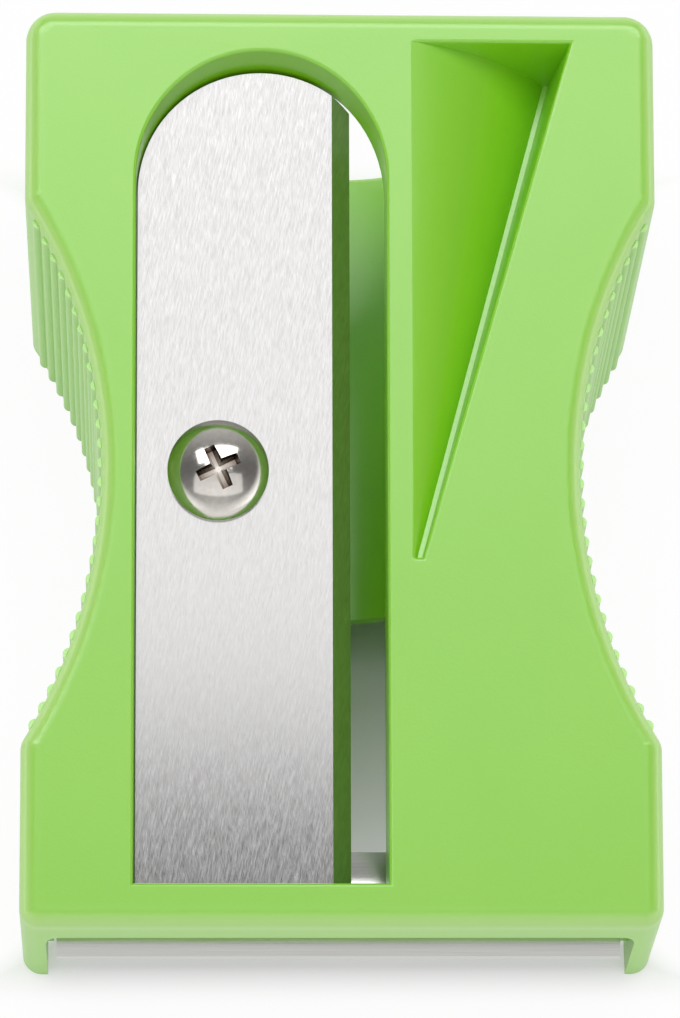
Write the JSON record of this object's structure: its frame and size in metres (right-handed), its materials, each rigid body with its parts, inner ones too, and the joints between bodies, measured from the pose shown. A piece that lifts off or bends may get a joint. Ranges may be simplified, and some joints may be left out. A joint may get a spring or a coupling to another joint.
{
  "type": "hand-held vegetable sharpener with peeler",
  "caption": "Wedge-shaped hand sharpener for carrots: screwed-on blade over a tapered hole, ribbed finger scoops, and a swivelling peeler blade at the thin end.",
  "frame": {"origin": "on the plane that the back rests on, under the middle of the part", "axes": "+X across to the right seen from the front, +Y from the thin end to the thick end, +Z out of the inclined front"},
  "size_m": [0.06, 0.0844, 0.0373],
  "materials": {
    "green_plastic": "satin injection moulding",
    "ground_steel": "ground with slanting scratches",
    "nickel_plate": "bright nickel plate",
    "stamped_steel": "stamped and polished",
    "pin_steel": "turned"
  },
  "bodies": {
    "frame": {"body": "green_plastic", "sharpening_blade": "ground_steel", "blade_screw": "nickel_plate", "left_pivot_pin": "pin_steel", "right_pivot_pin": "pin_steel"},
    "peeler": {"peeler_blade": "stamped_steel"}
  },
  "joints": [
    {"name": "peeler_swivel", "type": "hinge", "parent": "frame", "child": "peeler", "pos_m": [0, -0.03695, 0.00365], "axis": [1, 0, 0], "range_deg": [-25, 25]}
  ]
}
